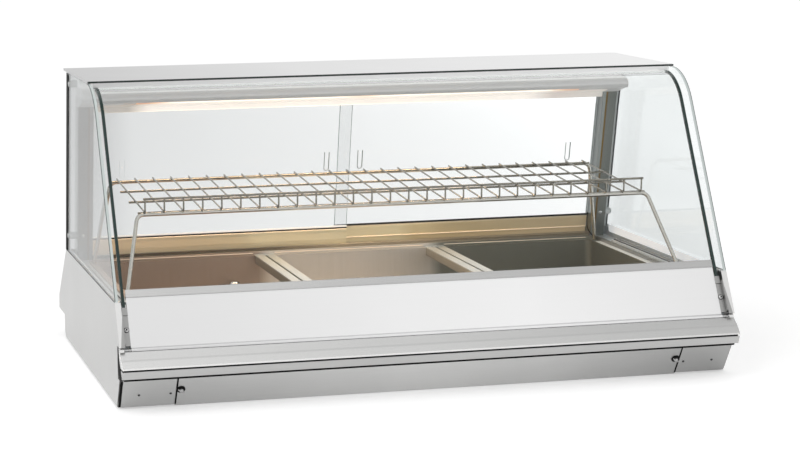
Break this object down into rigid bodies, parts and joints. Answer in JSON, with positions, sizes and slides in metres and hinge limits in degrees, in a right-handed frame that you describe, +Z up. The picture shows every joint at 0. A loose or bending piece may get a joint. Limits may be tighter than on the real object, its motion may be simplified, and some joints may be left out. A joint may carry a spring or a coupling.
{
  "type": "hot buffet counter",
  "caption": "counter-top hot food display with heated wells, sloping glass hood, tilting curved front, sliding rear doors, lamp canopy and a wire shelf",
  "frame": {"origin": "on the resting plane under the middle of the overall box", "axes": "+X along the counter to the guest's right, -Y towards the guest, +Z up"},
  "size_m": [1.1, 0.825, 0.533],
  "materials": {
    "side_steel": "fine satin ground stainless steel",
    "base_steel": "satin ground stainless steel",
    "front_steel": "bright satin stainless steel",
    "bumper_aluminium": "satin anodised extrusion",
    "deck_steel": "satin stainless steel",
    "tank_steel": "drawn stainless steel",
    "top_steel": "fine satin stainless steel",
    "canopy_aluminium": "satin folded aluminium",
    "reflector_mirror": "polished aluminium",
    "post_aluminium": "satin anodised tube",
    "rail_aluminium": "warm anodised extrusion",
    "clear_glass": "clear toughened glass with ground green edges",
    "black_rubber": "matt black",
    "shelf_chrome": "bright nickel-chrome wire",
    "screw_steel": "bright steel",
    "heater_silicone": "moulded silicone",
    "drain_steel": "polished stainless tube",
    "valve_brass": "nickel-free brass casting",
    "lever_steel": "red dipped steel",
    "black_plastic": "fine textured",
    "switch_red": "translucent red",
    "pilot_amber": "clear amber lens",
    "control_aluminium": "brushed plate",
    "lamp_glass": "lit quartz tube",
    "lamp_ceramic": "fired ceramic"
  },
  "bodies": {
    "base": {"side_panel_left": "side_steel", "side_panel_right": "side_steel", "base_corner_left": "base_steel", "base_corner_right": "base_steel", "base_tray": "base_steel", "rear_panel": "base_steel", "bumper": "bumper_aluminium", "front_lip": "bumper_aluminium", "deck": "deck_steel", "tank": "tank_steel", "top_panel": "top_steel", "lamp_canopy": "canopy_aluminium", "lamp_reflector": "reflector_mirror", "rear_post_left": "post_aluminium", "rear_post_right": "post_aluminium", "lower_track": "post_aluminium", "upper_track": "post_aluminium", "side_glass_left": "clear_glass", "side_glass_right": "clear_glass", "side_gaskets": "black_rubber", "bumper_seal": "black_rubber", "feet": "black_rubber", "corner_rivets": "screw_steel", "glass_fixings": "screw_steel", "hinge_rod": "screw_steel", "heating_pads": "heater_silicone", "drain_fitting": "drain_steel", "drain_valve": "valve_brass", "switch_frames": "black_plastic", "cable_gland": "black_plastic", "pilot_light": "pilot_amber", "control_face": "control_aluminium", "lamp_tubes": "lamp_glass", "lamp_holders": "lamp_ceramic"},
    "flap": {"front_panel": "front_steel", "panel_cap": "front_steel", "front_glass": "clear_glass", "glass_holder": "front_steel", "end_strip_left": "front_steel", "end_strip_right": "front_steel", "strip_screws": "screw_steel", "glass_clips": "front_steel"},
    "door_left": {"door_glass_left": "clear_glass", "door_rail_left": "rail_aluminium", "door_gasket_left": "black_rubber"},
    "door_right": {"door_glass_right": "clear_glass", "door_rail_right": "rail_aluminium", "door_gasket_right": "black_rubber"},
    "shelf": {"shelf_rod_front": "shelf_chrome", "shelf_rod_rear": "shelf_chrome", "shelf_grid": "shelf_chrome"},
    "divider_left": {"well_divider_left": "tank_steel"},
    "divider_right": {"well_divider_right": "tank_steel"},
    "overflow": {"overflow_pipe": "drain_steel"},
    "knob": {"thermostat_knob": "black_plastic"},
    "main_switch": {"rocker_main": "switch_red"},
    "light_switch": {"rocker_light": "switch_red"},
    "lever": {"drain_lever": "lever_steel"},
    "cover": {"service_cover": "base_steel", "cover_screws": "screw_steel"}
  },
  "joints": [
    {"name": "front_tilt", "type": "hinge", "parent": "base", "child": "flap", "pos_m": [0, -0.37812, 0.10586], "axis": [1, 0, 0], "range_deg": [0, 90]},
    {"name": "door_left_slide", "type": "slide", "parent": "base", "child": "door_left", "axis": [1, 0, 0], "range_m": [0, 0.5]},
    {"name": "door_right_slide", "type": "slide", "parent": "base", "child": "door_right", "axis": [-1, 0, 0], "range_m": [0, 0.472]},
    {"name": "shelf_lift", "type": "slide", "parent": "base", "child": "shelf", "axis": [0, 0, 1], "range_m": [0, 0.06]},
    {"name": "divider_left_lift", "type": "slide", "parent": "base", "child": "divider_left", "axis": [0, 0, 1], "range_m": [0, 0.06]},
    {"name": "divider_right_lift", "type": "slide", "parent": "base", "child": "divider_right", "axis": [0, 0, 1], "range_m": [0, 0.06]},
    {"name": "overflow_lift", "type": "slide", "parent": "base", "child": "overflow", "axis": [0, 0, 1], "range_m": [0, 0.06]},
    {"name": "knob_turn", "type": "hinge", "parent": "base", "child": "knob", "pos_m": [0.402, 0.34175, 0.128], "axis": [0, -0.6434, -0.7655], "range_deg": [0, 270]},
    {"name": "main_switch_tip", "type": "hinge", "parent": "base", "child": "main_switch", "pos_m": [0.336, 0.34239, 0.12877], "axis": [-1, 0, 0], "range_deg": [0, 20]},
    {"name": "light_switch_tip", "type": "hinge", "parent": "base", "child": "light_switch", "pos_m": [0.3, 0.34239, 0.12877], "axis": [-1, 0, 0], "range_deg": [0, 20]},
    {"name": "drain_lever_turn", "type": "hinge", "parent": "base", "child": "lever", "pos_m": [-0.23767, 0.352, 0.0415], "axis": [0, 0, -1], "range_deg": [0, 90]},
    {"name": "cover_pull", "type": "slide", "parent": "base", "child": "cover", "axis": [0, -1, 0], "range_m": [0, 0.06]}
  ]
}
